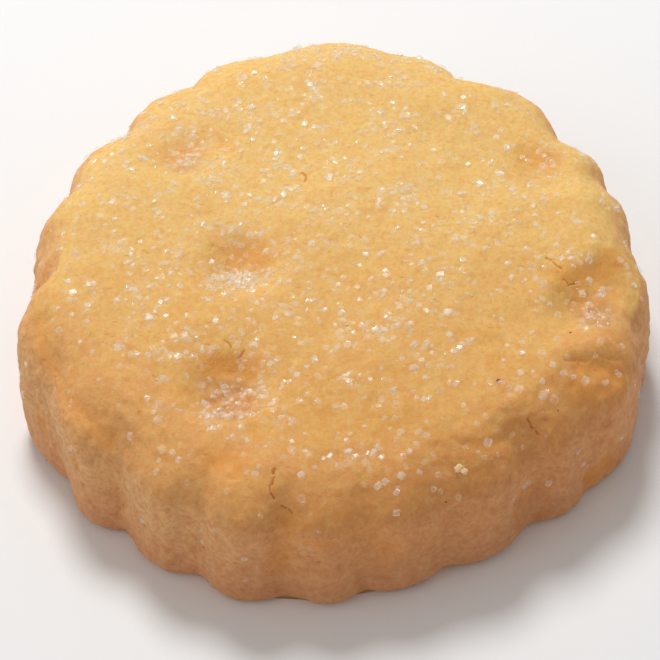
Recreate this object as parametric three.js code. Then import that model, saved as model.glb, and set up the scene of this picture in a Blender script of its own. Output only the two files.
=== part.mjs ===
// A round of shortbread: thick, with a soft shoulder, an uneven fluted edge and five pressed dimples.
// Millimetres, +Z up. The flat underside lies at z = 0, with the origin under the middle of the
// bounding box. Azimuths are in degrees, counted from +X towards +Y, and the front faces -Y.

import * as THREE from 'three';

// Driving dimensions
const DIAMETER = 55.6; // across the crests of the flutes, on average
const THICKNESS = 15;
const SHOULDER = 6.4; // radius of the soft edge round the top
const FOOT = 1.3; // radius of the edge round the underside
const WALL_TAPER = 0.3; // how far the wall leans in from the foot to the shoulder
const CROWN = 0.4; // how far the middle of the top stands above the shoulder
const FRONT_FALL = 1.5; // how far the top sinks from its middle to the front

// The outline is a circle with a few slow waves: how many, how high, and the azimuth of one crest.
const OUTLINE_WAVES = [
  { count: 2, height: 0.68, azimuth: 45 },
  { count: 3, height: 0.44, azimuth: -21 },
  { count: 4, height: 0.26, azimuth: -10 },
  { count: 5, height: 0.23, azimuth: -25 },
];

// The flutes, in order of azimuth. Each starts at a groove and rises to a crest, which stands out
// from the slow outline or falls short of it, and is often nearer to one of its two grooves:
// [azimuth of the groove at the foot, depth of the groove, azimuth of the crest, height of the crest].
const FLUTES = [
  [8, 0.9, 17, 0.1], [23, 0.8, 29, 0.5], [37, 1.2, 49, 0.4], [62, 2.1, 73, 0.3],
  [80, 0, 88, 0.7], [104, 0.1, 112, 0.6], [120, 0.6, 129, 0.4], [140, 1.3, 152, 0.3],
  [162, 0.8, 171, -0.2], [178, 0.8, 185, -1.2], [193, 2.2, 203, 0], [213, 1.3, 222, -0.1],
  [229, 1.9, 239, -0.1], [245, 1.5, 254, 0.4], [262, 1.2, 269, 0.1], [276, 0.8, 284, 0.1],
  [292, 0.6, 300, 0.3], [311, 1.4, 319, 0.2], [324, 0.2, 332, 0.4], [348, 0.8, 357, 0],
];
const FLUTE_ROUNDNESS = 0.9; // 1 is a plain sine arch, and less makes the grooves narrower

// The grooves stand straight, except that those on the left lean back from the foot to the top.
const LEAN = { degrees: 14, azimuth: 190, spread: 30 };
const GROOVE_FULL = 1; // distance in from the wall within which a groove has its full depth
const GROOVE_RUN_OUT = 5.5; // distance in from the wall at which a groove has died away on the top

// The dimples pressed into the top. The long axis of each lies at the azimuth "turn".
const DIMPLES = [
  { x: -13.6, y: 10.8, length: 3.6, width: 2.6, turn: 20, depth: 0.9 },
  { x: -8.2, y: -2.0, length: 3.0, width: 2.7, turn: -30, depth: 1.5 },
  { x: -9.0, y: -15.1, length: 3.3, width: 2.6, turn: 10, depth: 1.4 },
  { x: 18.5, y: 9.2, length: 2.8, width: 2.2, turn: -40, depth: 1.0 },
  { x: 22.2, y: -4.6, length: 4.6, width: 2.4, turn: 50, depth: 1.8 },
];
const DIMPLE_SHARPNESS = 3; // 2 is a bell curve, and more gives a flatter floor and a steeper wall

// Slow unevenness of the top: wave length, height, and the azimuth that each wave runs along.
const SWELLS = [
  { length: 23, height: 0.16, azimuth: 15 },
  { length: 17, height: 0.12, azimuth: 80 },
  { length: 13, height: 0.09, azimuth: 140 },
];
const PRESS_MARGIN = 1; // how far under the shoulder's top the fall, swells and dimples act in full

// Fineness of the surface
const SEGMENTS = 120;
const UNDERSIDE_RINGS = 2;
const FOOT_RINGS = 3;
const WALL_RINGS = 3;
const SHOULDER_RINGS = 6;
const TOP_RINGS = 19;

const RADIUS = DIAMETER / 2;
const TOP_RADIUS = RADIUS - WALL_TAPER - SHOULDER; // where the shoulder meets the top
const SHOULDER_TOP = THICKNESS - CROWN;

const radians = THREE.MathUtils.degToRad;

// Half of the round section, from the middle of the underside out and up to the middle of the top.
function sectionPoints() {
  const underside = (t) => [t * (RADIUS - FOOT), 0];
  const foot = (t) => [
    RADIUS - FOOT + FOOT * Math.sin(t * Math.PI / 2),
    FOOT - FOOT * Math.cos(t * Math.PI / 2),
  ];
  const wall = (t) => [
    RADIUS - WALL_TAPER * t,
    THREE.MathUtils.lerp(FOOT, SHOULDER_TOP - SHOULDER, t),
  ];
  const shoulder = (t) => [
    TOP_RADIUS + SHOULDER * Math.cos(t * Math.PI / 2),
    SHOULDER_TOP - SHOULDER + SHOULDER * Math.sin(t * Math.PI / 2),
  ];
  const top = (t) => [TOP_RADIUS * (1 - t), SHOULDER_TOP + CROWN * (1 - (1 - t) ** 2)];

  const points = [new THREE.Vector2(0, 0)];
  const stretches = [
    [underside, UNDERSIDE_RINGS], [foot, FOOT_RINGS], [wall, WALL_RINGS],
    [shoulder, SHOULDER_RINGS], [top, TOP_RINGS],
  ];
  for (const [curve, rings] of stretches) {
    for (let ring = 1; ring <= rings; ring += 1) {
      points.push(new THREE.Vector2(...curve(ring / rings)));
    }
  }
  return points;
}

// How far the slow waves push the outline out at an azimuth.
function outlineSwell(azimuth) {
  let swell = 0;
  for (const wave of OUTLINE_WAVES) {
    swell += wave.height * Math.cos(wave.count * radians(azimuth - wave.azimuth));
  }
  return swell;
}

// How far the flutes push the outline out, or their grooves cut in, at an azimuth at the foot:
// each flute is one arch, with one half on each side of its crest.
function fluteSwell(azimuth) {
  const turned = THREE.MathUtils.euclideanModulo(azimuth, 360);
  let next = FLUTES.findIndex(([groove]) => groove > turned);
  if (next < 0) next = 0;
  const [start, startDepth, crest, height] = FLUTES.at(next - 1);
  const [end, endDepth] = FLUTES[next];
  const rise = THREE.MathUtils.euclideanModulo(crest - start, 360);
  const fall = THREE.MathUtils.euclideanModulo(end - crest, 360);
  const run = THREE.MathUtils.euclideanModulo(turned - start, 360);
  const left = rise + fall - run;
  const along = run < rise ? run / rise / 2 : 1 - left / fall / 2;
  const arch = Math.sin(Math.PI * along) ** FLUTE_ROUNDNESS;
  return height * arch - THREE.MathUtils.lerp(startDepth, endDepth, along) * (1 - arch);
}

// The azimuth at the foot of the groove or crest that passes an azimuth at a height.
function footAzimuth(azimuth, height) {
  const away = THREE.MathUtils.euclideanModulo(azimuth - LEAN.azimuth + 180, 360) - 180;
  const lean = LEAN.degrees * Math.exp(-((away / LEAN.spread) ** 2));
  return azimuth + lean * height / THICKNESS;
}

function dimpleDepth(x, y) {
  let depth = 0;
  for (const dimple of DIMPLES) {
    const offset = new THREE.Vector2(x - dimple.x, y - dimple.y);
    offset.rotateAround(new THREE.Vector2(), -radians(dimple.turn));
    const reach = Math.hypot(offset.x / dimple.length, offset.y / dimple.width);
    depth += dimple.depth * Math.exp(-(reach ** DIMPLE_SHARPNESS));
  }
  return depth;
}

function topSwell(x, y) {
  let swell = -FRONT_FALL * THREE.MathUtils.smoothstep(-y, 0, RADIUS);
  for (const wave of SWELLS) {
    const along = x * Math.cos(radians(wave.azimuth)) + y * Math.sin(radians(wave.azimuth));
    swell += wave.height * Math.sin(2 * Math.PI * along / wave.length);
  }
  return swell;
}

// Moves a point of the plain round in or out to the uneven, fluted outline.
function flutePoint(point) {
  const azimuth = THREE.MathUtils.radToDeg(Math.atan2(point.y, point.x));
  const radius = Math.hypot(point.x, point.y);
  const grooved = THREE.MathUtils.smoothstep(radius, RADIUS - GROOVE_RUN_OUT, RADIUS - GROOVE_FULL);
  const fluted = grooved * fluteSwell(footAzimuth(azimuth, point.z));
  const grown = radius * (1 + outlineSwell(azimuth) / RADIUS) + fluted;
  if (radius > 0) {
    point.x *= grown / radius;
    point.y *= grown / radius;
  }
}

// Raises or lowers a point above half height, for the fall, swells and dimples of the top.
function pressPoint(point) {
  const upper = THREE.MathUtils.smoothstep(point.z, THICKNESS / 2, SHOULDER_TOP - PRESS_MARGIN);
  point.z += upper * (topSwell(point.x, point.y) - dimpleDepth(point.x, point.y));
}

function movePoints(geometry, move) {
  const places = geometry.getAttribute('position');
  const point = new THREE.Vector3();
  for (let index = 0; index < places.count; index += 1) {
    move(point.fromBufferAttribute(places, index));
    places.setXYZ(index, point.x, point.y, point.z);
  }
}

function biscuitGeometry() {
  const geometry = new THREE.LatheGeometry(sectionPoints(), SEGMENTS);
  geometry.rotateX(Math.PI / 2);
  movePoints(geometry, flutePoint);
  geometry.computeBoundingBox();
  const middle = geometry.boundingBox.getCenter(new THREE.Vector3());
  geometry.translate(-middle.x, -middle.y, 0);
  movePoints(geometry, pressPoint);
  geometry.computeBoundingBox();
  geometry.scale(1, 1, THICKNESS / geometry.boundingBox.max.z);
  geometry.computeVertexNormals();
  return geometry;
}

const shortbread = new THREE.MeshStandardMaterial({ color: 0xe2af70, roughness: 0.8, metalness: 0 });

const biscuit = new THREE.Mesh(biscuitGeometry(), shortbread);
biscuit.name = 'biscuit';

const part = new THREE.Group();
part.add(biscuit);

export default part;
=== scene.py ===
"""A sugared shortbread round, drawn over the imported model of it.

The dough is a fine copy of the CAD solid, with the lumps, grain, pits and cracks of a baked crumb.
Granulated sugar, sugar dust and crumbs lie on it as meshes of their true size.
Shapes are worked out in millimetres, in the frame's axes, and become metres when a mesh is made.
"""

import math

import bmesh
import bpy
import numpy as np
from mathutils import Euler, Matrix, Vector, noise
from mathutils.bvhtree import BVHTree


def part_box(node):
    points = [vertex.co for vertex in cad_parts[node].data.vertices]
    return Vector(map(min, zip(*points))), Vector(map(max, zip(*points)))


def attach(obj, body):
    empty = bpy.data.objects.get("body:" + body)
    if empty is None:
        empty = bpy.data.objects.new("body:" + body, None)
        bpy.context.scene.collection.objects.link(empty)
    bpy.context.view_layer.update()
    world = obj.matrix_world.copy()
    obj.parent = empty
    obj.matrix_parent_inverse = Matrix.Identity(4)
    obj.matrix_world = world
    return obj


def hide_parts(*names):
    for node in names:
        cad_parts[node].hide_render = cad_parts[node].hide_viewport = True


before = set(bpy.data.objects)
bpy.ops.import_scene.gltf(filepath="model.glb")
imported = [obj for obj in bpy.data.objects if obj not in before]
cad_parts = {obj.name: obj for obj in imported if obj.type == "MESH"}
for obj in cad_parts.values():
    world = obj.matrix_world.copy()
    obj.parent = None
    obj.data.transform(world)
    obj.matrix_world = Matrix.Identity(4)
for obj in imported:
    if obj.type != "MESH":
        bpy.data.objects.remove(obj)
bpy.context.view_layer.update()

MM = 0.001
LOW, HIGH = (np.array(corner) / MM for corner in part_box("biscuit"))
THICKNESS = HIGH[2]
RADIUS = (HIGH[0] - LOW[0] + HIGH[1] - LOW[1]) / 4

# The fine surface of the dough
WELD = 0.005
VOXEL = 0.235
SMOOTH_SHARE = 0.5
SMOOTH_STEPS = 9
UNDERSIDE_DEPTH = 0.3  # below this height only the flat underside is left, which needs few faces
FACES_KEPT = 0.7  # share of the faces left once the underside is thinned out
FINE_REACH = 0.35  # how far round a crack the surface is refined
FINE_CUTS = 2
SIDE_FACING, TOP_FACING = 0.05, 0.95  # the upward part of a normal on the side, and on the top
FOOT_FADE = 1.6  # height over which the relief grows from the flat underside

# Relief of the dough: (size of a lump, height on the top, height on the side, octaves, seed)
RELIEF = [
    (6.0, 0.16, 0.26, 2, 1),
    (2.4, 0.07, 0.18, 2, 2),
    (1.0, 0.055, 0.11, 2, 3),
    (0.55, 0.035, 0.05, 1, 4),
]

# The rough floors of the five dimples, most of them a little in front of the deepest place:
# (x, y, radius, how rough)
DIMPLES = [
    (-13.6, 10.4, 2.0, 0.5), (-8.2, -2.4, 2.1, 0.4), (-9.0, -16.1, 2.5, 1.0), (18.5, 9.2, 1.6, 0.2),
    (22.2, -6.0, 2.1, 0.9),
]
FLOOR_EDGE = 4  # 2 makes a bell curve, and more gives a floor with a sharper edge
FLOOR_RELIEF = (0.7, 0.3, 3, 9)  # size of a lump, height, octaves, seed

# Heaps of smaller sugar in and beside the dimples: (x, y, half width, half depth, crystals)
HEAPS = [
    (-13.4, 10.2, 2.4, 1.2, 32), (-8.2, -3.2, 2.4, 1.4, 165), (-9.0, -17.6, 2.9, 0.8, 65),
    (-9.0, -15.4, 1.8, 1.3, 40), (19.2, 8.6, 1.6, 0.9, 10), (22.4, -6.3, 1.5, 1.3, 32),
]
FULL_HEAP = 55  # crystals / (half width * half depth) of a heap that turns the dough under it white
THIN_FROST = 0.45  # how white the dough is outside the heaps, where the sugar lies thickest

# How the dough browned, partly in the oven and partly as painted warm shade: on the side turned from the
# light, on the front rim and near the underside. Distances are shares of the radius, and a height of the
# thickness.
BROWNEST_AND_SHADIEST = math.radians(-55)  # azimuth of the side that is browned most, partly painted shade where it turns from the light
BAKED_AND_SHADED_START = 0.35
RIM_START, RIM_FULL = 0.66, 0.85
RIM_FRONT_FULL = 0.5
LOW_END = 0.6

# The grooves between the flutes are known by how far they lie behind the crests beside them.
SECTORS = 120
LEVELS = 10
LEVEL_HEIGHT = 1.5
CREST_REACH = 4  # how many sectors away, to each side, a crest may lie
CREST_BLUR = 3  # over how many sectors, to each side, the crests are averaged
GROOVE_START, GROOVE_FULL = 0.6, 2.2  # how far behind the crests a groove begins, and is full
GROOVE_DEPTH = 0.1  # how much deeper than in the solid a full groove is
# painted warm shade: the brown tint in a full groove, where less light reaches
GROOVE_PAINTED_SHADE = 0.2

# A crack runs in crooked steps. Its edges waver, and it fades in and out along its length.
CRACK_STEP = 0.32
CRACK_JITTER = 0.055
BROAD = 0.3  # a line with at least this half width is a fold, which wavers but doesn't fade
LINE_REACH = 4  # how far from a line its hollow reaches, in half widths
WAVER = 0.45  # by what share of itself the width grows and shrinks
WAVER_SIZE = 1.6  # in half widths
FADE_SIZE = 0.4
FADE_LOW, FADE_HIGH = -0.8, -0.2  # the noise at which a crack is gone, and at which it is whole

# Soft folds and hollows: (points on the surface, half width, depth, how much painted warm shade tints
# them brown). The depth of a lip is less than 0.
FOLDS = [
    # the fold along the left shoulder, and two low on the wall under it
    ([(-25.5, -7.0, 12.3), (-24.8, -9.7, 11.2), (-23.3, -13.8, 10.9), (-20.8, -16.6, 11.2),
      (-19.1, -18.6, 10.3)], 0.9, 0.26, 0.40),
    ([(-25.6, -11.8, 6.4), (-25.1, -12.8, 3.8)], 0.6, 0.22, 0.35),
    ([(-22.9, -16.4, 9.0), (-21.9, -17.9, 6.8)], 0.6, 0.25, 0.4),
    # the front: a dent in the shoulder, the deep groove and a crease beside it
    ([(-9.8, -22.3, 12.8), (-8.7, -22.6, 12.6)], 1.3, 0.35, 0.6),
    ([(-3.9, -26.5, 10.0), (-4.6, -27.3, 7.0), (-4.9, -27.3, 4.5)], 0.9, 0.30, 0.45),
    ([(-5.4, -26.7, 0.9), (-3.4, -26.9, 0.9)], 0.8, -0.22, 0.0),
    ([(-2.8, -27.4, 8.3), (-1.4, -27.8, 8.2), (-0.2, -27.8, 8.3)], 0.4, 0.22, 0.5),
    ([(2.6, -26.8, 8.4), (4.2, -26.7, 6.2)], 1.8, 0.25, 0.3),
    # the small step in the front right shoulder
    ([(10.9, -19.5, 12.9), (14.3, -18.2, 12.7)], 0.9, -0.08, 0.0),
    ([(10.9, -20.7, 12.4), (12.8, -20.4, 12.2), (14.6, -19.4, 12.1)], 0.55, 0.12, 0.3),
    # the ragged ledge under the dimple on the right
    ([(19.6, -11.2, 13.6), (22.0, -9.9, 13.1), (24.4, -9.7, 11.8)], 1.0, -0.18, 0.0),
    ([(20.6, -12.6, 12.9), (22.3, -12.0, 12.2), (24.0, -11.8, 11.2)], 0.9, 0.28, 0.6),
    ([(20.0, -14.0, 11.9), (22.2, -13.2, 11.2), (24.0, -12.4, 10.4)], 1.4, 0.0, 0.5),
    ([(22.3, -15.9, 2.2), (23.2, -15.1, 2.9)], 1.6, 0.60, 0.6),
    # hollows in and beside the dimples
    ([(-10.2, -12.9, 13.8), (-7.6, -13.1, 13.7)], 1.3, 0.10, 0.7),
    ([(-10.2, 12.3, 14.9), (-9.9, 11.7, 14.9)], 0.6, 0.10, 0.5),
    ([(19.8, -3.2, 13.8), (21.9, -2.6, 12.8), (24.2, -0.9, 13.0)], 1.2, 0.0, 0.7),
    ([(-14.4, 11.4, 14.5), (-12.6, 11.9, 14.5)], 1.3, 0.05, 0.6),
    ([(-8.9, -0.6, 14.2), (-6.6, -0.3, 14.2)], 1.4, 0.0, 0.6),
    ([(17.2, 10.9, 14.5), (18.8, 10.5, 14.5)], 1.2, 0.15, 0.7),
    ([(21.0, -5.2, 13.0), (22.6, -4.0, 12.5)], 1.5, 0.0, 0.6),
    # the raised floor of the dimple at the front
    ([(-10.0, -15.9, 12.8), (-8.0, -16.0, 12.8)], 1.6, -0.15, 0.3),
]

# Thin cracks: (points on the surface, half width, depth), and how brown where that is less than fully
CRACKS = [
    ([(-5.2, -23.3, 12.7), (-5.3, -24.4, 12.2)], 0.14, 0.11),
    ([(-5.6, -24.6, 12.1), (-5.3, -25.3, 11.5)], 0.11, 0.09),
    ([(-4.6, -25.7, 10.9), (-3.7, -26.1, 10.5)], 0.10, 0.08),
    ([(18.1, -1.5, 14.3), (18.7, -1.9, 14.2), (19.4, -2.5, 14.1)], 0.10, 0.07),
    ([(19.5, -3.4, 13.8), (20.0, -3.6, 13.4), (20.7, -3.4, 13.1)], 0.08, 0.06),
    ([(16.0, -17.6, 12.2), (16.4, -17.9, 11.6), (16.8, -18.2, 10.9)], 0.12, 0.10),
    # the torn edge under the dimple on the right
    ([(19.3, -12.1, 13.3), (20.6, -12.0, 13.0), (22.0, -11.1, 12.8), (23.3, -10.9, 12.2),
      (24.5, -10.4, 11.4)], 0.26, 0.07, 0.4),
    ([(-9.6, -10.6, 14.2), (-9.0, -11.2, 14.1)], 0.10, 0.05),
    ([(-7.9, -11.5, 13.9), (-8.3, -12.3, 13.6)], 0.14, 0.07),
    ([(-3.1, 8.4, 15.0), (-2.6, 7.9, 15.0), (-2.9, 7.2, 15.0)], 0.14, 0.06),
]

# Hairline cracks: how many, and the ranges that each is drawn from
HAIRLINES = 75
HAIRLINE_STEPS = (1, 4)  # at least the first number, and fewer than the second
HAIRLINE_STEP = (0.15, 0.4)
HAIRLINE_TURN = 0.6  # how much the heading varies from step to step, in radians
HAIRLINE_HALF_WIDTH = (0.05, 0.09)
HAIRLINE_DEPTH = (0.01, 0.04)
HAIRLINE_BROWN = (0.3, 0.8)

# Small pits left by air in the dough
PITS = 240
PIT_RADIUS = (0.22, 0.5)
PIT_DEPTH = 0.2  # for each millimetre of radius
PIT_REACH = 2.5  # how far from its middle a pit reaches, in radii
PIT_LOWEST = 1  # height under which there are none

# How thickly the sugar lies on the top, from 0 to 1
SUGAR_THICK = 0.45
THIN_AT_RIGHT = 0.16  # how much thinner it lies on the right
RIGHT_START, RIGHT_FULL = 6, 18
DRIFT_SIZE = 3.5
DRIFT_MIDDLE, DRIFT_HEIGHT = 0.55, 0.8  # what the drifts multiply the sugar by
DRIFT_LAYER = 3.0  # height in the noise at which the drifts are read
BARE_RIM = 0.5  # distance from the rim within which there is least sugar
FULL_FROM_RIM, FULL_FROM_FRONT_RIM = 5.0, 9.0  # distance from the rim at which the sugar is full
FRONT_RIM_START = -8  # y in front of which the rim is a front rim
LEAST_AT_RIM = 0.1  # share of the sugar that is left at the rim

# Places with more sugar: (x, y, radius, how much more)
SUGAR_PATCHES = [
    (-12, 12, 6, 0.3), (-18, -3, 5, 0.35), (-7, -1, 4, 0.4), (-9, -14, 4, 0.4), (4, -7, 6, 0.25),
    (9, 4, 6, 0.15), (0, 20, 8, 0.2), (18, 10, 4, 0.15), (21, -7, 3, 0.4),
]

# The crystals. Widths and heights of a grain are shares of its length.
CRYSTALS = 1680
CRYSTAL_SIZE = 0.48  # of a middling crystal
CRYSTAL_SPREAD = 0.23  # how much the logarithm of the size varies
LARGEST_CRYSTAL = 0.72
CRYSTAL_CHAMFER = 0.18
CRYSTAL_JITTER = 0.07  # how far the corners are off, as a share of the length
GRAIN_WIDTH = (0.7, 1.0)
GRAIN_HEIGHT = (0.45, 0.8)
FLAT_FACING = 0.9  # a face of a grain that looks at least this much up or down is a flat one
STEEPEST = 0.4  # the upward part of a normal of dough on which a grain still lies
CLEAR_SHARE = 0.8
CLEAR_MILK, FROSTED_MILK = (0.0, 0.5), (0.6, 1.0)
EDGE_MILK_AS_RIM_LIGHT = 0.2  # how milky the edges of a clear grain are: a painted rim of light, for what clear edges refract and reflect
CRYSTAL_OPACITY = (0.1, 0.45)
WALL_CRYSTALS = 60
WALL_CRYSTAL_SIZE = (0.3, 0.6)
WALL_CRYSTAL_HEIGHT = (0.25, 0.8)  # shares of the thickness

# Smaller and broken crystals
HEAP_SPREAD = 0.6  # how far they lie from the middle of a heap, in its half widths
HEAPED_SIZE = (0.2, 0.45)
FINE_GRAINS = 950
FINE_SIZE = (0.1, 0.24)
DUST_CHAMFER = 0.2
DUST_OPACITY = (0.1, 0.42)

# Loose crumbs, and the large one with another beside it
CRUMBS = 14
CRUMB_SIZE = (0.2, 0.5)
CRUMB_REACH = (0.2, 0.95)  # shares of the radius
LARGE_CRUMB, LARGE_CRUMB_SIZE = (10.1, -22.2, 11.4), 1.0
BESIDE_IT, CRUMB_BESIDE_SIZE = (0.5, -0.4, 0.1), 0.6

# Burnt specks: (point on the surface, size)
SPECKS = [
    ((13.6, -14.7, 13.8), 0.5), ((19.9, -9.0, 13.6), 0.26), ((18.6, -16.4, 11.9), 0.2),
    ((9.1, -24.2, 9.4), 0.22), ((-11.2, -25.8, 5.3), 0.24), ((-17.2, -20.1, 3.7), 0.2),
]

# Small dark marks in the crust: (spacing, how far they are drawn out, azimuth, reach in spacings)
MARKS = [(1.3, 3.0, 20, 0.09), (1.5, 3.5, 110, 0.08), (1.0, 1.3, 0, 0.075)]

# Colours, as seen on a screen
TOP_BACK, TOP_FRONT = (240, 199, 121), (231, 173, 92)
# The shoulder and wall colours hold painted warm shade as well as the baked crust: redder towards the side
# turned from the light, and darker at the foot, where contact shade falls
SHOULDER_PALE, SHOULDER_BAKED_AND_SHADED = (233, 173, 110), (229, 159, 95)
WALL_PALE, WALL_BAKED_AND_SHADED, WALL_LOW_AND_SHADED = (235, 184, 124), (231, 166, 108), (216, 157, 111)
MOTTLE_TOP, MOTTLE_SIDE = (222, 150, 66), (198, 120, 68)
MARK_TOP, MARK_SIDE = (208, 128, 46), (176, 92, 46)
BLOTCH = (196, 120, 74)
PALE_GRAIN = (244, 206, 138)
ROUGH_FLOOR = (196, 140, 98)
# painted warm shade for the folds, hollows and grooves
PAINTED_SHADE_BROWN = (246, 164, 66)
IN_CRACK = (206, 118, 40)
FROST = (236, 208, 168)
CRUMB_LIGHT, CRUMB_DARK = (244, 214, 168), (232, 190, 138)
SPECK_LIGHT, SPECK_DARK = (186, 92, 56), (142, 62, 36)
SUGAR_LIGHT, SUGAR_DARK = (255, 247, 232), (246, 234, 212)
FLOOR_LIGHT, FLOOR_DARK = (246, 246, 245), (243, 243, 243)

# How far light spreads in the dough and in a crumb, and the shares that red, green and blue go of it
LIGHT_SPREAD, CRUMB_LIGHT_SPREAD = 1.2, 0.5
LIGHT_SPREAD_SHARES = (1.0, 0.45, 0.2)

# What each set of random numbers starts from
SEEDS = {"dough": 11, "crystals": 23, "side": 5, "dust": 37, "crumbs": 41, "specks": 43}

# The camera, the floor and the sky
CAMERA_ELEVATION = math.radians(50)
CAMERA_DISTANCE = 320
NEAREST_SEEN = 10
SENSOR_WIDTH = 36
PICTURE_WIDTH = 58.15  # how much the picture spans at the biscuit's middle
FRAMING = (-0.60, -2.95)  # how far the aim lies from that middle, across and up the picture
FLOOR_WIDTH = 6000
SKY_COLOUR = (1.0, 0.98, 0.96, 1.0)
SKY_STRENGTH = 0.38

# The lights: (name, azimuth, elevation, distance, width, watts)
LIGHTS = [("key", 104, 56, 500, 167, 1.6), ("fill", 200, 35, 900, 700, 1.0)]


def smoothstep(values, low, high):
    share = np.clip((values - low) / (high - low), 0, 1)
    return share * share * (3 - 2 * share)


def noise_at(points, size, octaves, seed):
    """Smooth noise between about -1 and 1, with lumps about size across."""
    shift = Vector((13.7, 5.1, 9.3)) * seed
    return np.array([noise.fractal(Vector(p) / size + shift, 1.0, 2.0, octaves) for p in points])


def link(piece):
    bpy.context.scene.collection.objects.link(piece)
    return piece


def read_points(mesh):
    points = np.empty(len(mesh.vertices) * 3, np.float32)
    mesh.vertices.foreach_get("co", points)
    return points.reshape(-1, 3).astype(float) / MM


def surface_of(piece):
    """The surface of a piece in millimetres, for finding what lies under or near a place."""
    points = read_points(piece.data)
    faces = [polygon.vertices[:] for polygon in piece.data.polygons]
    return BVHTree.FromPolygons([Vector(p) for p in points], faces)


# The dough ------------------------------------------------------------------------------------


def fine_copy(node, name):
    """An evenly fine, closed copy of a CAD solid, with a coarser underside."""
    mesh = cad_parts[node].data.copy()
    welded = bmesh.new()
    welded.from_mesh(mesh)
    bmesh.ops.remove_doubles(welded, verts=welded.verts, dist=WELD * MM)
    welded.to_mesh(mesh)
    welded.free()
    piece = link(bpy.data.objects.new(name, mesh))
    remesh = piece.modifiers.new("remesh", "REMESH")
    remesh.mode = "VOXEL"
    remesh.voxel_size = VOXEL * MM
    smooth = piece.modifiers.new("smooth", "SMOOTH")
    smooth.factor = SMOOTH_SHARE
    smooth.iterations = SMOOTH_STEPS
    apply_modifiers(piece)
    thin_underside(piece)
    return piece


def apply_modifiers(piece):
    evaluated = piece.evaluated_get(bpy.context.evaluated_depsgraph_get())
    piece.data = bpy.data.meshes.new_from_object(evaluated)
    piece.modifiers.clear()


def thin_underside(piece):
    underside = piece.vertex_groups.new(name="underside")
    low = np.flatnonzero(read_points(piece.data)[:, 2] < UNDERSIDE_DEPTH)
    underside.add(low.tolist(), 1.0, "REPLACE")
    thin = piece.modifiers.new("thin", "DECIMATE")
    thin.ratio = FACES_KEPT
    thin.vertex_group = underside.name
    apply_modifiers(piece)
    piece.vertex_groups.clear()


def read_normals(mesh):
    normals = np.empty(len(mesh.vertices) * 3, np.float32)
    mesh.vertex_normals.foreach_get("vector", normals)
    return normals.reshape(-1, 3).astype(float)


def write_points(mesh, points):
    mesh.vertices.foreach_set("co", (points * MM).astype(np.float32).ravel())
    mesh.update()


def write_attribute(mesh, name, values):
    attribute = mesh.attributes.new(name, "FLOAT", "POINT")
    attribute.data.foreach_set("value", np.clip(values, 0, 1).astype(np.float32))


def line_distance(points, line):
    """How far each point lies from a broken line."""
    nearest = np.full(len(points), np.inf)
    for start, end in zip(line[:-1], line[1:]):
        run = end - start
        share = np.clip(((points - start) @ run) / (run @ run), 0, 1)
        away = np.linalg.norm(points - start - share[:, None] * run, axis=1)
        nearest = np.minimum(nearest, away)
    return nearest


def hairlines(rng):
    """Short hairline cracks scattered over the dough."""
    lines = []
    for _ in range(HAIRLINES):
        reach = RADIUS * math.sqrt(rng.random())
        azimuth = rng.uniform(0, 2 * math.pi)
        heading = rng.uniform(0, 2 * math.pi)
        line = [np.array([reach * math.cos(azimuth), reach * math.sin(azimuth), THICKNESS])]
        for _ in range(rng.integers(*HAIRLINE_STEPS)):
            heading += rng.normal(0, HAIRLINE_TURN)
            step = rng.uniform(*HAIRLINE_STEP)
            line.append(line[-1] + step * np.array([math.cos(heading), math.sin(heading), 0]))
        half_width = rng.uniform(*HAIRLINE_HALF_WIDTH)
        depth = rng.uniform(*HAIRLINE_DEPTH)
        lines.append((line, half_width, depth, rng.uniform(*HAIRLINE_BROWN)))
    return lines


def ragged(rng, lines):
    """The same lines broken into short, slightly crooked steps."""
    broken = []
    for line, *rest in lines:
        points = [np.array(line[0], float)]
        for start, end in zip(line[:-1], line[1:]):
            start, end = np.array(start, float), np.array(end, float)
            steps = max(1, round(np.linalg.norm(end - start) / CRACK_STEP))
            for step in range(1, steps + 1):
                points.append(start + (end - start) * step / steps + rng.normal(0, CRACK_JITTER, 3))
        broken.append((points, *rest))
    return broken


def seat_lines(surface, lines):
    """The same lines with their points moved onto the surface."""
    seated = []
    for line, *rest in lines:
        seated.append(([np.array(surface.find_nearest(Vector(point))[0]) for point in line], *rest))
    return seated


def near_line(points, line, reach):
    """The numbers of the points within reach of a line, and how far each lies from it."""
    low = np.min(line, axis=0) - reach
    high = np.max(line, axis=0) + reach
    near = np.flatnonzero(np.all((points > low) & (points < high), axis=1))
    away = line_distance(points[near], line)
    return near[away < reach], away[away < reach]


def refine_near(mesh, lines):
    """Cuts the faces near the lines into smaller ones."""
    points = read_points(mesh)
    close = np.zeros(len(points), bool)
    for line, *_ in lines:
        close[near_line(points, line, FINE_REACH)[0]] = True
    shape = bmesh.new()
    shape.from_mesh(mesh)
    shape.verts.ensure_lookup_table()
    edges = [edge for edge in shape.edges if all(close[vert.index] for vert in edge.verts)]
    bmesh.ops.subdivide_edges(shape, edges=edges, cuts=FINE_CUTS, use_grid_fill=True)
    shape.to_mesh(mesh)
    shape.free()


def carve(points, lines):
    """How deep the lines go in at each point, and how strongly they mark it."""
    depth = np.zeros(len(points))
    mark = np.zeros(len(points))
    for line, half_width, deep, *strength in lines:
        near, away = near_line(points, line, LINE_REACH * half_width)
        share = np.exp(-(away / half_width / wavering(points[near], half_width)) ** 2)
        if half_width < BROAD:
            share = smoothstep(noise_at(points[near], FADE_SIZE, 2, seed=7), FADE_LOW, FADE_HIGH) * share
        depth[near] += deep * share
        mark[near] = np.maximum(mark[near], share * (strength[0] if strength else 1))
    return depth, mark


def wavering(points, half_width):
    """How many times wider or narrower a line of that half width is at each point."""
    return 1 + WAVER * noise_at(points, WAVER_SIZE * half_width, 2, seed=6)


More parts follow.
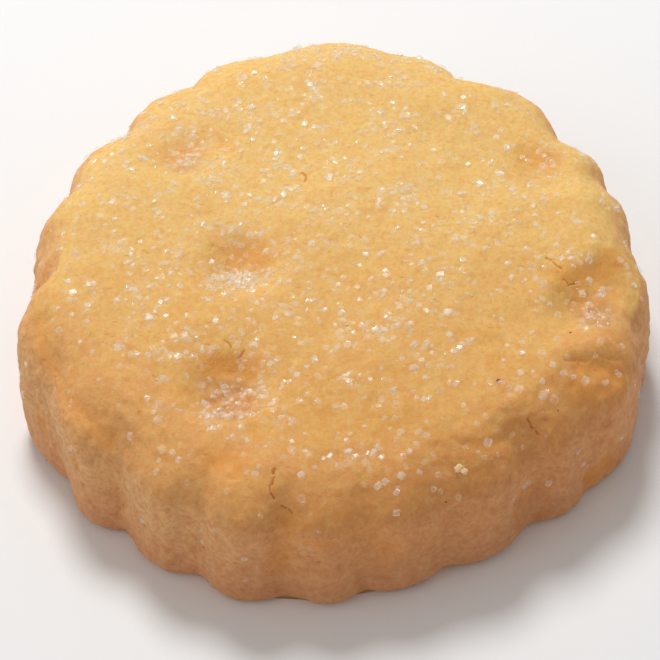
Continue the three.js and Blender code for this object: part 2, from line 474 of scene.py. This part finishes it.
def scatter_pits(rng, points):
    """Depth of the small pits at each point."""
    depth = np.zeros(len(points))
    upper = np.flatnonzero(points[:, 2] > PIT_LOWEST)
    for middle in points[rng.choice(upper, PITS)]:
        radius = rng.uniform(*PIT_RADIUS)
        near = np.flatnonzero(np.all(np.abs(points - middle) < PIT_REACH * radius, axis=1))
        away = np.linalg.norm(points[near] - middle, axis=1)
        depth[near] += PIT_DEPTH * radius * np.exp(-(away / radius) ** 2)
    return depth


def dimple_floor(points):
    """How rough the dough is at each point: 0 outside the floors of the dimples."""
    rough = np.zeros(len(points))
    upper = points[:, 2] > THICKNESS / 2
    for x, y, radius, roughness in DIMPLES:
        away = np.hypot(points[:, 0] - x, points[:, 1] - y)
        rough = np.maximum(rough, roughness * np.exp(-(away / radius) ** FLOOR_EDGE) * upper)
    return rough


def frosting(points):
    """How much sugar has rubbed into the dough at each point."""
    frosted = np.zeros(len(points))
    upper = points[:, 2] > THICKNESS / 2
    for number in np.flatnonzero(upper):
        frosted[number] = THIN_FROST * sugar_density(*points[number, :2])
    for x, y, half_width, half_depth, crystals in HEAPS:
        away = np.hypot((points[:, 0] - x) / half_width, (points[:, 1] - y) / half_depth)
        whitest = crystals / (half_width * half_depth) / FULL_HEAP
        frosted = np.maximum(frosted, whitest * np.exp(-away ** 2) * upper)
    return frosted


def turned_both_ways(outline, reach):
    """The outline turned by each number of sectors up to reach, to both sides."""
    return [np.roll(outline, shift, axis=0) for shift in range(-reach, reach + 1)]


def groove_share(points):
    """1 at the bottom of the grooves between the flutes and 0 on their crests."""
    azimuth = np.degrees(np.arctan2(points[:, 1], points[:, 0]))
    sector = np.floor(azimuth * SECTORS / 360).astype(int) % SECTORS
    level = np.clip(points[:, 2] / LEVEL_HEIGHT, 0, LEVELS - 1).astype(int)
    reach = np.hypot(points[:, 0], points[:, 1])
    outline = np.zeros((SECTORS, LEVELS))
    np.maximum.at(outline, (sector, level), reach)
    crests = np.max(turned_both_ways(outline, CREST_REACH), axis=0)
    around = np.mean(turned_both_ways(crests, CREST_BLUR), axis=0)
    return smoothstep(around[sector, level] - reach, GROOVE_START, GROOVE_FULL)


def add_lumps(relief, points, side, rough):
    """Adds the lumps and grain of the dough to its relief."""
    for size, on_top, on_side, octaves, seed in RELIEF:
        relief += (on_top + (on_side - on_top) * side) * noise_at(points, size, octaves, seed)
    size, height, octaves, seed = FLOOR_RELIEF
    relief += rough * height * noise_at(points, size, octaves, seed)


def push_out(points, normals, relief):
    """Moves the points along their normals, and none of them below the underside."""
    shift = normals * relief[:, None]
    shift[:, 2] *= smoothstep(points[:, 2], 0.0, FOOT_FADE)
    points += shift
    points[:, 2] = np.maximum(points[:, 2], 0)


def write_baking_and_shade(mesh, points):
    """Where each point lies, as the material needs it to brown the dough and to paint warm shade on it."""
    forward = -points[:, 1]
    write_attribute(mesh, "front", smoothstep(forward, -RADIUS, RADIUS))
    # partly painted shade: the side that turns from the light is browner
    towards_brownest_and_shadiest = points[:, :2] @ [math.cos(BROWNEST_AND_SHADIEST), math.sin(BROWNEST_AND_SHADIEST)]
    write_attribute(mesh, "baked_and_shaded", smoothstep(towards_brownest_and_shadiest, BAKED_AND_SHADED_START * RADIUS, RADIUS))
    rim = smoothstep(np.hypot(points[:, 0], points[:, 1]), RIM_START * RADIUS, RIM_FULL * RADIUS)
    # painted warm shade on the front rim, which turns from the light
    write_attribute(mesh, "shaded_front_rim", rim * smoothstep(forward, 0.0, RIM_FRONT_FULL * RADIUS))
    # darker near the underside: partly baked crust, partly painted contact shade
    write_attribute(mesh, "low", 1 - smoothstep(points[:, 2], 0.0, LOW_END * THICKNESS))


def make_dough():
    """The dough that stands for the plain solid."""
    piece = fine_copy("biscuit", "shortbread")
    mesh = piece.data
    rng = np.random.default_rng(SEEDS["dough"])
    surface = surface_of(piece)
    folds = seat_lines(surface, FOLDS)
    cracks = seat_lines(surface, ragged(rng, CRACKS + hairlines(rng)))
    refine_near(mesh, cracks)

    points = read_points(mesh)
    normals = read_normals(mesh)
    side = 1 - smoothstep(normals[:, 2], SIDE_FACING, TOP_FACING)
    groove = groove_share(points) * side
    rough = dimple_floor(points)
    relief = -scatter_pits(rng, points) - GROOVE_DEPTH * groove
    add_lumps(relief, points, side, rough)
    crack_depth, crack = carve(points, cracks)
    fold_depth, painted_shade = carve(points, folds)
    relief -= crack_depth + fold_depth
    push_out(points, normals, relief)
    write_points(mesh, points)

    write_baking_and_shade(mesh, points)
    write_attribute(mesh, "side", side)
    # the painted warm shade of the folds, hollows and grooves
    write_attribute(mesh, "painted_shade", np.maximum(painted_shade, GROOVE_PAINTED_SHADE * groove))
    write_attribute(mesh, "crack", crack)
    write_attribute(mesh, "rough", rough)
    write_attribute(mesh, "frosted", frosting(points))
    mesh.shade_smooth()
    return piece


# Sugar and crumbs -------------------------------------------------------------------------------


def chamfered_box(chamfer):
    """Points and faces of a unit box with its edges cut off, and which faces lie across its thickness."""
    shape = bmesh.new()
    bmesh.ops.create_cube(shape, size=1)
    bmesh.ops.bevel(shape, geom=shape.edges[:], offset=chamfer, segments=1, affect="EDGES")
    shape.verts.ensure_lookup_table()
    points = np.array([vert.co for vert in shape.verts])
    faces = [[vert.index for vert in face.verts] for face in shape.faces]
    flat = np.array([abs(face.normal.z) > FLAT_FACING for face in shape.faces])
    shape.free()
    return points, faces, flat


def lie_flat(rng, facing, tilt):
    """A turn that lays a grain on its flat face, turned and tilted at random."""
    lie = facing.to_track_quat("Z", "Y").to_matrix()
    turn = Euler((rng.normal(0, tilt), rng.normal(0, tilt), rng.uniform(0, 2 * math.pi)), "ZYX").to_matrix()
    return np.array(lie @ turn)


def joined_grains(name, grains, template, rng, sunk=0.15, tilt=0.22, jitter=0.05):
    """One mesh of many grains, each given as (place, way the dough faces, size, milkiness).

    A grain's milkiness is kept on its faces: less on the flat ones, which are looked through, than at
    its edges, where a clear grain's extra milkiness is a painted rim of light.
    """
    shape, faces, flat = template
    points = []
    joined = []
    milk_and_rim_light = []
    for place, facing, size, milkiness in grains:
        shares = np.array([1.0, rng.uniform(*GRAIN_WIDTH), rng.uniform(*GRAIN_HEIGHT)])
        grain = (shape + rng.normal(0, jitter, shape.shape)) * shares * size
        start = len(points) * len(shape)
        middle = np.array(place + facing * size * sunk)
        points.append(grain @ lie_flat(rng, facing, tilt).T + middle)
        joined += [[start + corner for corner in face] for face in faces]
        # the milkier edges of a clear grain are a painted rim of light
        milk_and_rim_light.append(np.where(flat, milkiness, EDGE_MILK_AS_RIM_LIGHT + (1 - EDGE_MILK_AS_RIM_LIGHT) * milkiness))
    mesh = bpy.data.meshes.new(name)
    mesh.from_pydata((np.concatenate(points) * MM).tolist(), [], joined)
    attribute = mesh.attributes.new("milk_and_rim_light", "FLOAT", "FACE")
    attribute.data.foreach_set("value", np.concatenate(milk_and_rim_light).astype(np.float32))
    return link(bpy.data.objects.new(name, mesh))


def sugar_density(x, y):
    """How thickly the sugar lies at a place on the top, from 0 to 1."""
    drift = noise.fractal(Vector((x, y, DRIFT_LAYER)) / DRIFT_SIZE, 1.0, 2.0, 2)
    thick = SUGAR_THICK - THIN_AT_RIGHT * smoothstep(x, RIGHT_START, RIGHT_FULL)
    for patch_x, patch_y, radius, extra in SUGAR_PATCHES:
        thick += extra * math.exp(-((x - patch_x) ** 2 + (y - patch_y) ** 2) / radius ** 2)
    inside = RADIUS - math.hypot(x, y)
    full = FULL_FROM_FRONT_RIM if y < FRONT_RIM_START else FULL_FROM_RIM
    edge = LEAST_AT_RIM + (1 - LEAST_AT_RIM) * smoothstep(inside, BARE_RIM, full)
    return max(0.0, min(1.0, thick * (DRIFT_MIDDLE + DRIFT_HEIGHT * drift) * edge))


def drop_on(surface, x, y):
    """Where a grain dropped at a place lands on the dough, and the way that the dough faces."""
    return surface.ray_cast(Vector((x, y, 2 * THICKNESS)), Vector((0, 0, -1)))[:2]


def stays_on(landing, facing):
    """Whether a grain landed at all, and where it isn't too steep."""
    return landing is not None and facing.z > STEEPEST


def random_milkiness(rng):
    """Most crystals are clear, and some are frosted."""
    return rng.uniform(*CLEAR_MILK) if rng.random() < CLEAR_SHARE else rng.uniform(*FROSTED_MILK)


def join_crystals(name, grains, rng):
    return joined_grains(name, grains, chamfered_box(CRYSTAL_CHAMFER), rng, jitter=CRYSTAL_JITTER)


def make_sugar(surface):
    rng = np.random.default_rng(SEEDS["crystals"])
    grains = []
    while len(grains) < CRYSTALS:
        x, y = rng.uniform(-RADIUS, RADIUS, 2)
        keep = rng.random() < sugar_density(x, y)
        size = float(np.exp(rng.normal(math.log(CRYSTAL_SIZE), CRYSTAL_SPREAD)))
        milkiness = random_milkiness(rng)
        if not keep:
            continue
        landing, facing = drop_on(surface, x, y)
        if stays_on(landing, facing):
            grains.append((landing, facing, min(size, LARGEST_CRYSTAL), milkiness))
    return join_crystals("sugar_crystals", grains, rng)


def make_wall_sugar(surface):
    """The few crystals that stuck to the side."""
    rng = np.random.default_rng(SEEDS["side"])
    grains = []
    for _ in range(WALL_CRYSTALS):
        azimuth = rng.uniform(0, 2 * math.pi)
        height = rng.uniform(*WALL_CRYSTAL_HEIGHT) * THICKNESS
        outside = Vector((math.cos(azimuth), math.sin(azimuth), 0)) * 2 * RADIUS
        start = outside + Vector((0, 0, height))
        landing, facing = surface.ray_cast(start, -outside.normalized())[:2]
        grains.append((landing, facing, rng.uniform(*WALL_CRYSTAL_SIZE), random_milkiness(rng)))
    return join_crystals("sugar_on_side", grains, rng)


def make_dust(surface):
    """Smaller and broken crystals, heaped in the dimples and thin elsewhere."""
    rng = np.random.default_rng(SEEDS["dust"])
    grains = []
    for x, y, half_width, half_depth, crystals in HEAPS:
        for _ in range(crystals):
            across, away = rng.normal(0, HEAP_SPREAD, 2)
            place = drop_on(surface, x + half_width * across, y + half_depth * away)
            grains.append((*place, rng.uniform(*HEAPED_SIZE)))
    for _ in range(FINE_GRAINS):
        x, y = rng.uniform(-RADIUS, RADIUS, 2)
        if rng.random() < sugar_density(x, y):
            grains.append((*drop_on(surface, x, y), rng.uniform(*FINE_SIZE)))
    seated = [
        (landing, facing, size, rng.uniform(0, 1))
        for landing, facing, size in grains if stays_on(landing, facing)
    ]
    return joined_grains("sugar_dust", seated, chamfered_box(DUST_CHAMFER), rng, sunk=0.05, tilt=0.35)


def rough_lump(uneven):
    """Points and faces of a lump about 1 across, with none of its faces flat."""
    shape = bmesh.new()
    bmesh.ops.create_icosphere(shape, subdivisions=2, radius=0.5)
    shape.verts.ensure_lookup_table()
    points = np.array([vert.co for vert in shape.verts])
    points *= (1 + uneven * noise_at(points, 0.45, 2, seed=8))[:, None]
    faces = [[vert.index for vert in face.verts] for face in shape.faces]
    shape.free()
    return points, faces, np.zeros(len(faces), bool)


def make_crumbs(surface):
    """Loose crumbs of the dough, with the large one on the front shoulder."""
    rng = np.random.default_rng(SEEDS["crumbs"])
    place, facing = surface.find_nearest(Vector(LARGE_CRUMB))[:2]
    beside = place + Vector(BESIDE_IT)
    grains = [(place, facing, LARGE_CRUMB_SIZE, 0.0), (beside, facing, CRUMB_BESIDE_SIZE, 0.0)]
    for _ in range(CRUMBS):
        azimuth = rng.uniform(0, 2 * math.pi)
        reach = RADIUS * rng.uniform(*CRUMB_REACH)
        landing, facing = drop_on(surface, reach * math.cos(azimuth), reach * math.sin(azimuth))
        if landing is not None:
            grains.append((landing, facing, rng.uniform(*CRUMB_SIZE), 0.0))
    lump = rough_lump(uneven=0.5)
    return joined_grains("crumbs", grains, lump, rng, sunk=-0.15, tilt=0.2, jitter=0.02)


def make_specks(surface):
    rng = np.random.default_rng(SEEDS["specks"])
    grains = [(*surface.find_nearest(Vector(place))[:2], size, 0.0) for place, size in SPECKS]
    lump = rough_lump(uneven=0.3)
    return joined_grains("burnt_specks", grains, lump, rng, sunk=-0.1, tilt=0.3, jitter=0.015)


# Materials ----------------------------------------------------------------------------------------


def linear(colour):
    """A colour seen on a screen, each part from 0 to 255, as the linear values that nodes take."""
    parts = [part / 255 for part in colour]
    return [part / 12.92 if part <= 0.04045 else ((part + 0.055) / 1.055) ** 2.4 for part in parts] + [1.0]


class Shader:
    """A material and short calls that add nodes to it."""

    def __init__(self, name):
        self.material = bpy.data.materials.new(name)
        self.material.use_nodes = True
        self.tree = self.material.node_tree
        self.surface = self.tree.nodes["Principled BSDF"]

    def join(self, value, socket):
        if isinstance(value, bpy.types.NodeSocket):
            self.tree.links.new(value, socket)
        else:
            socket.default_value = value

    def coordinates(self):
        return self.tree.nodes.new("ShaderNodeTexCoord").outputs["Object"]

    def noise(self, size, detail=2.0, roughness=0.5):
        node = self.tree.nodes.new("ShaderNodeTexNoise")
        self.join(self.coordinates(), node.inputs["Vector"])
        node.inputs["Scale"].default_value = 1 / (size * MM)
        node.inputs["Detail"].default_value = detail
        node.inputs["Roughness"].default_value = roughness
        return node.outputs["Fac"]

    def marks(self, spacing, stretch, turn):
        """Distance, in spacings, from scattered points in a space squeezed along one level direction."""
        squeeze = self.tree.nodes.new("ShaderNodeMapping")
        self.join(self.coordinates(), squeeze.inputs["Vector"])
        squeeze.inputs["Rotation"].default_value = (0, 0, math.radians(turn))
        squeeze.inputs["Scale"].default_value = (1 / stretch, 1, 1)
        node = self.tree.nodes.new("ShaderNodeTexVoronoi")
        self.join(squeeze.outputs["Vector"], node.inputs["Vector"])
        node.inputs["Scale"].default_value = 1 / (spacing * MM)
        return node.outputs["Distance"]

    def attribute(self, name):
        node = self.tree.nodes.new("ShaderNodeAttribute")
        node.attribute_name = name
        return node.outputs["Fac"]

    def fit(self, value, low=0.0, high=1.0, to_low=0.0, to_high=1.0):
        """A value from low to high, turned into one from to_low to to_high and kept in that range."""
        node = self.tree.nodes.new("ShaderNodeMapRange")
        self.join(value, node.inputs["Value"])
        for socket, number in zip(("From Min", "From Max", "To Min", "To Max"), (low, high, to_low, to_high)):
            node.inputs[socket].default_value = number
        return node.outputs["Result"]

    def combine(self, operation, first, second):
        """Two values added or multiplied, as the operation says."""
        node = self.tree.nodes.new("ShaderNodeMath")
        node.operation = operation
        self.join(first, node.inputs[0])
        self.join(second, node.inputs[1])
        return node.outputs[0]

    def mix(self, share, first, second):
        """A blend of two colours, each the output of a node or a colour seen on a screen."""
        node = self.tree.nodes.new("ShaderNodeMix")
        node.data_type = "RGBA"
        self.join(share, node.inputs["Factor"])
        for colour, socket in ((first, "A"), (second, "B")):
            self.join(linear(colour) if isinstance(colour, tuple) else colour, node.inputs[socket])
        return node.outputs["Result"]

    def bump(self, height, distance, strength=1.0, under=None):
        node = self.tree.nodes.new("ShaderNodeBump")
        node.inputs["Strength"].default_value = strength
        node.inputs["Distance"].default_value = distance * MM
        self.join(height, node.inputs["Height"])
        if under is not None:
            self.join(under, node.inputs["Normal"])
        return node.outputs["Normal"]

    def set(self, **values):
        for name, value in values.items():
            self.join(value, self.surface.inputs[name.replace("_", " ")])


def baked_and_shaded_colour(shader):
    """Golden at the back of the top, deeper to the front, and browner down the side: partly the baked crust,
    partly painted warm shade on the slopes, the front rim, the side turned from the light and the foot.
    """
    uneven = shader.fit(shader.noise(2.2, 3.0, 0.6), 0.3, 0.7, -0.16, 0.16)
    front = shader.combine("ADD", shader.attribute("front"), uneven)
    baked_and_shaded = shader.combine("ADD", shader.attribute("baked_and_shaded"), uneven)
    side = shader.combine("ADD", shader.attribute("side"), uneven)
    # painted warm shade on the front rim
    rim = shader.fit(shader.attribute("shaded_front_rim"), to_high=0.3)
    top = shader.mix(shader.fit(front, 0.35, 1.0), TOP_BACK, TOP_FRONT)
    bend = shader.mix(shader.fit(baked_and_shaded, 0.1, 0.9), SHOULDER_PALE, SHOULDER_BAKED_AND_SHADED)
    # the slopes take the redder shoulder colour: partly baked crust, partly painted warm shade
    bent = shader.fit(shader.combine("ADD", side, rim), 0.05, 0.4, to_high=0.85)
    shoulder = shader.mix(bent, top, bend)
    wall = shader.mix(shader.fit(baked_and_shaded, 0.1, 0.9), WALL_PALE, WALL_BAKED_AND_SHADED)
    # darker near the underside: partly baked crust, partly painted contact shade
    wall = shader.mix(shader.attribute("low"), wall, WALL_LOW_AND_SHADED)
    return shader.mix(shader.fit(side, 0.35, 0.8), shoulder, wall)


def mottled(shader, colour, on_side):
    """The colour with the darker and paler grain of the crust, and blotches on the side."""
    mottle = shader.fit(shader.noise(0.42, 3.0, 0.65), 0.4, 0.75, to_high=0.6)
    colour = shader.mix(mottle, colour, shader.mix(on_side, MOTTLE_TOP, MOTTLE_SIDE))
    blotches = shader.fit(shader.noise(1.2, 4.0, 0.7), 0.42, 0.7, to_high=0.5)
    colour = shader.mix(shader.combine("MULTIPLY", blotches, on_side), colour, BLOTCH)
    pale = shader.fit(shader.noise(0.8, 4.0, 0.65), 0.5, 0.8, to_high=0.55)
    on_top = shader.fit(shader.attribute("side"), 0.2, 0.9, 1.0, 0.35)
    return shader.mix(shader.combine("MULTIPLY", pale, on_top), colour, PALE_GRAIN)


def marked(shader, colour, on_side):
    """The colour with what marks it in places: dimples, painted warm shade in the folds, hollows and grooves,
    dark marks, cracks and rubbed-in sugar.
    """
    colour = shader.mix(shader.fit(shader.attribute("rough"), to_high=0.8), colour, ROUGH_FLOOR)
    # painted warm shade in the folds, hollows and grooves
    colour = shader.mix(shader.fit(shader.attribute("painted_shade"), to_high=0.8), colour, PAINTED_SHADE_BROWN)
    for spacing, stretch, turn, reach in MARKS:
        mark = shader.fit(shader.marks(spacing, stretch, turn), 0.4 * reach, reach, 0.5, 0.0)
        colour = shader.mix(mark, colour, shader.mix(on_side, MARK_TOP, MARK_SIDE))
    colour = shader.mix(shader.fit(shader.attribute("crack"), 0.15, 0.9, to_high=0.75), colour, IN_CRACK)
    patches = shader.fit(shader.noise(0.4, 3.0), 0.35, 0.6)
    frost = shader.combine("MULTIPLY", shader.attribute("frosted"), patches)
    return shader.mix(shader.fit(frost, to_high=0.6), colour, FROST)


def dough_material():
    shader = Shader("shortbread_crumb")
    on_side = shader.fit(shader.attribute("side"), 0.15, 0.7)
    colour = marked(shader, mottled(shader, baked_and_shaded_colour(shader), on_side), on_side)
    grain = shader.bump(shader.noise(0.2, 3.0, 0.6), 0.08, 0.7)
    grain = shader.bump(shader.noise(0.6, 2.0), 0.1, 0.4, grain)
    roughness = shader.fit(shader.noise(0.9), 0.3, 0.7, 0.6, 0.85)
    shader.set(Base_Color=colour, Normal=grain, Roughness=roughness, Specular_IOR_Level=0.3)
    shader.set(Subsurface_Weight=0.5, Subsurface_Scale=LIGHT_SPREAD * MM)
    shader.set(Subsurface_Radius=LIGHT_SPREAD_SHARES)
    return shader.material


def crumb_material():
    shader = Shader("loose_crumb")
    tone = shader.mix(shader.noise(0.5, 3.0), CRUMB_LIGHT, CRUMB_DARK)
    shader.set(Base_Color=tone, Normal=shader.bump(shader.noise(0.15, 3.0), 0.03), Roughness=0.8)
    shader.set(Subsurface_Weight=0.5, Subsurface_Scale=CRUMB_LIGHT_SPREAD * MM)
    return shader.material


def speck_material():
    shader = Shader("burnt_speck")
    tone = shader.mix(shader.noise(0.2, 2.0), SPECK_LIGHT, SPECK_DARK)
    shader.set(Base_Color=tone, Normal=shader.bump(shader.noise(0.1, 2.0), 0.02), Roughness=0.9)
    shader.set(Specular_IOR_Level=0.1)
    return shader.material


def sugar_material(name, clearest, milkiest):
    """Sugar crystals, with the opacity of their clearest faces and of their milkiest edges."""
    shader = Shader(name)
    tint = shader.mix(shader.noise(1.3, 1.0), SUGAR_LIGHT, SUGAR_DARK)
    # the milkier edges of clear grains are a painted rim of light
    opacity = shader.fit(shader.attribute("milk_and_rim_light"), to_low=clearest, to_high=milkiest)
    haze = shader.fit(shader.noise(0.9, 1.0), 0.35, 0.65, 0.1, 0.35)
    scratches = shader.bump(shader.noise(0.12, 2.0), 0.015, 0.4)
    shader.set(Base_Color=tint, Roughness=haze, Normal=scratches, Alpha=opacity)
    shader.set(IOR=1.54, Specular_IOR_Level=1.0)
    return shader.material


def floor_material():
    shader = Shader("pale_floor")
    shader.set(Base_Color=shader.mix(shader.noise(60.0, 2.0), FLOOR_LIGHT, FLOOR_DARK), Roughness=0.7)
    return shader.material


# The stage -----------------------------------------------------------------------------------------


def look_from(position, target, piece):
    piece.location = Vector(position) * MM
    piece.rotation_euler = (Vector(target) - Vector(position)).to_track_quat("-Z", "Y").to_euler()


def make_camera():
    data = bpy.data.cameras.new("camera")
    data.sensor_width = SENSOR_WIDTH
    data.lens = data.sensor_width * CAMERA_DISTANCE / PICTURE_WIDTH
    data.clip_start = NEAREST_SEEN * MM
    camera = link(bpy.data.objects.new("camera", data))
    back = Vector((0, -math.cos(CAMERA_ELEVATION), math.sin(CAMERA_ELEVATION)))
    up = Vector((0, math.sin(CAMERA_ELEVATION), math.cos(CAMERA_ELEVATION)))
    target = Vector((FRAMING[0], 0, THICKNESS / 2)) + up * FRAMING[1]
    look_from(target + back * CAMERA_DISTANCE, target, camera)
    bpy.context.scene.camera = camera


def make_light(name, azimuth, elevation, distance, width, watts):
    data = bpy.data.lights.new(name, "AREA")
    data.shape = "DISK"
    data.size = width * MM
    data.energy = watts
    turn, lift = math.radians(azimuth), math.radians(elevation)
    way = Vector((math.cos(lift) * math.cos(turn), math.cos(lift) * math.sin(turn), math.sin(lift)))
    look_from(way * distance, (0, 0, 0), link(bpy.data.objects.new(name, data)))


def make_world():
    world = bpy.data.worlds.new("studio")
    world.use_nodes = True
    sky = world.node_tree.nodes["Background"]
    sky.inputs["Color"].default_value = SKY_COLOUR
    sky.inputs["Strength"].default_value = SKY_STRENGTH
    bpy.context.scene.world = world


def make_stage():
    bpy.ops.mesh.primitive_plane_add(size=FLOOR_WIDTH * MM)
    floor = bpy.context.object
    floor.name = "floor"
    floor.data.materials.append(floor_material())
    make_world()
    for light in LIGHTS:
        make_light(*light)
    bpy.context.scene.view_settings.view_transform = "Standard"


# The whole ------------------------------------------------------------------------------------------


def finish_piece(piece, material):
    piece.data.materials.clear()
    piece.data.materials.append(material)
    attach(piece, "root")


def let_light_through(piece):
    """Clear grains pass the light on to the dough under them, which plain shadows wouldn't."""
    piece.visible_shadow = False
    piece.visible_diffuse = False


dough = make_dough()
finish_piece(dough, dough_material())
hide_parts("biscuit")

dough_surface = surface_of(dough)
crystal = sugar_material("sugar_crystal", *CRYSTAL_OPACITY)
for grains in (make_sugar(dough_surface), make_wall_sugar(dough_surface)):
    finish_piece(grains, crystal)
    let_light_through(grains)
dust = make_dust(dough_surface)
finish_piece(dust, sugar_material("sugar_dust", *DUST_OPACITY))
let_light_through(dust)
finish_piece(make_crumbs(dough_surface), crumb_material())
finish_piece(make_specks(dough_surface), speck_material())

make_stage()
make_camera()
